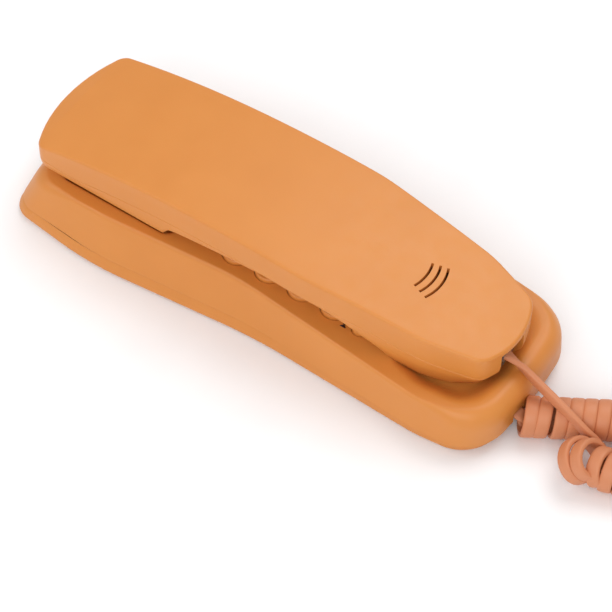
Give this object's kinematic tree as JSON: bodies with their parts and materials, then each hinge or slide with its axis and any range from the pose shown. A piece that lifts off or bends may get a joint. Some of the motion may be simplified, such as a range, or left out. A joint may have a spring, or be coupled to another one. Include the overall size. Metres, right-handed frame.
{
  "type": "slimline wall phone",
  "caption": "Slimline corded wall phone lying on its back, its arched handset resting over a keypad base, with a flat coiled handset cord.",
  "frame": {"origin": "under the middle of the base, on the plane its rubber feet stand on", "axes": "+Y towards the ear end along the phone, +Z out of its front, +X to its right as seen from the front"},
  "size_m": [0.0865, 0.321, 0.0444],
  "materials": {
    "shell_plastic": "satin moulded orange plastic",
    "key_plastic": "satin moulded orange plastic",
    "cord_jacket": "smooth flexible jacket, a pinker orange",
    "clear_plastic": "clear moulded plug",
    "label_window": "clear glossy strip",
    "label_card": "white printed card",
    "rubber": "matte",
    "circuit_board": "solder-masked board",
    "black_plastic": "moulded black plastic",
    "steel": "plain steel",
    "brass": "thin brass disc"
  },
  "bodies": {
    "base": {"base_top_housing": "shell_plastic", "base_bottom_cover": "shell_plastic", "handset_lead": "cord_jacket", "base_lead": "cord_jacket", "curly_cord": "cord_jacket", "base_plug": "clear_plastic", "label_window": "label_window", "label_card": "label_card", "keypad_mat": "rubber", "rubber_foot_1": "rubber", "rubber_foot_2": "rubber", "rubber_foot_3": "rubber", "rubber_foot_4": "rubber", "main_circuit_board": "circuit_board", "hook_switch_body": "black_plastic", "line_jack": "black_plastic", "base_cord_jack": "black_plastic", "hook_spring": "steel", "base_screw_1": "steel", "base_screw_2": "steel", "base_screw_3": "steel", "base_screw_4": "steel", "ringer_disc": "brass"},
    "handset": {"handset_outer_shell": "shell_plastic", "handset_inner_shell": "shell_plastic", "receiver_capsule": "black_plastic", "receiver_gasket": "rubber", "microphone_capsule": "steel", "microphone_boot": "rubber", "handset_jack": "black_plastic", "handset_wires": "black_plastic", "handset_screw_1": "steel", "handset_screw_2": "steel", "handset_plug": "clear_plastic"},
    "hook_plunger": {"hook_plunger": "black_plastic"},
    "hanger_tab": {"hanger_tab": "shell_plastic"},
    "key_1": {"key_1": "key_plastic"},
    "key_2": {"key_2": "key_plastic"},
    "key_3": {"key_3": "key_plastic"},
    "key_4": {"key_4": "key_plastic"},
    "key_5": {"key_5": "key_plastic"},
    "key_6": {"key_6": "key_plastic"},
    "key_7": {"key_7": "key_plastic"},
    "key_8": {"key_8": "key_plastic"},
    "key_9": {"key_9": "key_plastic"},
    "key_star": {"key_star": "key_plastic"},
    "key_0": {"key_0": "key_plastic"},
    "key_hash": {"key_hash": "key_plastic"},
    "key_mute": {"key_mute": "key_plastic"},
    "key_pause": {"key_pause": "key_plastic"},
    "key_redial": {"key_redial": "key_plastic"}
  },
  "joints": [
    {"name": "handset_lift", "type": "slide", "parent": "base", "child": "handset", "axis": [0, 0, 1], "range_m": [0, 0.06]},
    {"name": "hook_plunger_travel", "type": "slide", "parent": "base", "child": "hook_plunger", "axis": [0, 0, 1], "range_m": [0, 0.003], "deforming": ["hook_spring"]},
    {"name": "hanger_tab_slide", "type": "slide", "parent": "base", "child": "hanger_tab", "axis": [0, 1, 0], "range_m": [0, 0.0012]},
    {"name": "key_1_press", "type": "slide", "parent": "base", "child": "key_1", "axis": [0, 0, -1], "range_m": [0, 0.0015], "stiffness_N_per_m": 300},
    {"name": "key_2_press", "type": "slide", "parent": "base", "child": "key_2", "axis": [0, 0, -1], "range_m": [0, 0.0015], "stiffness_N_per_m": 300},
    {"name": "key_3_press", "type": "slide", "parent": "base", "child": "key_3", "axis": [0, 0, -1], "range_m": [0, 0.0015], "stiffness_N_per_m": 300},
    {"name": "key_4_press", "type": "slide", "parent": "base", "child": "key_4", "axis": [0, 0, -1], "range_m": [0, 0.0015], "stiffness_N_per_m": 300},
    {"name": "key_5_press", "type": "slide", "parent": "base", "child": "key_5", "axis": [0, 0, -1], "range_m": [0, 0.0015], "stiffness_N_per_m": 300},
    {"name": "key_6_press", "type": "slide", "parent": "base", "child": "key_6", "axis": [0, 0, -1], "range_m": [0, 0.0015], "stiffness_N_per_m": 300},
    {"name": "key_7_press", "type": "slide", "parent": "base", "child": "key_7", "axis": [0, 0, -1], "range_m": [0, 0.0015], "stiffness_N_per_m": 300},
    {"name": "key_8_press", "type": "slide", "parent": "base", "child": "key_8", "axis": [0, 0, -1], "range_m": [0, 0.0015], "stiffness_N_per_m": 300},
    {"name": "key_9_press", "type": "slide", "parent": "base", "child": "key_9", "axis": [0, 0, -1], "range_m": [0, 0.0015], "stiffness_N_per_m": 300},
    {"name": "key_star_press", "type": "slide", "parent": "base", "child": "key_star", "axis": [0, 0, -1], "range_m": [0, 0.0015], "stiffness_N_per_m": 300},
    {"name": "key_0_press", "type": "slide", "parent": "base", "child": "key_0", "axis": [0, 0, -1], "range_m": [0, 0.0015], "stiffness_N_per_m": 300},
    {"name": "key_hash_press", "type": "slide", "parent": "base", "child": "key_hash", "axis": [0, 0, -1], "range_m": [0, 0.0015], "stiffness_N_per_m": 300},
    {"name": "key_mute_press", "type": "slide", "parent": "base", "child": "key_mute", "axis": [0, 0, -1], "range_m": [0, 0.0015], "stiffness_N_per_m": 300},
    {"name": "key_pause_press", "type": "slide", "parent": "base", "child": "key_pause", "axis": [0, 0, -1], "range_m": [0, 0.0015], "stiffness_N_per_m": 300},
    {"name": "key_redial_press", "type": "slide", "parent": "base", "child": "key_redial", "axis": [0, 0, -1], "range_m": [0, 0.0015], "stiffness_N_per_m": 300}
  ],
  "couplings": [
    {"joint": "hook_plunger_travel", "follows": "handset_lift", "ratio": 0.05}
  ]
}
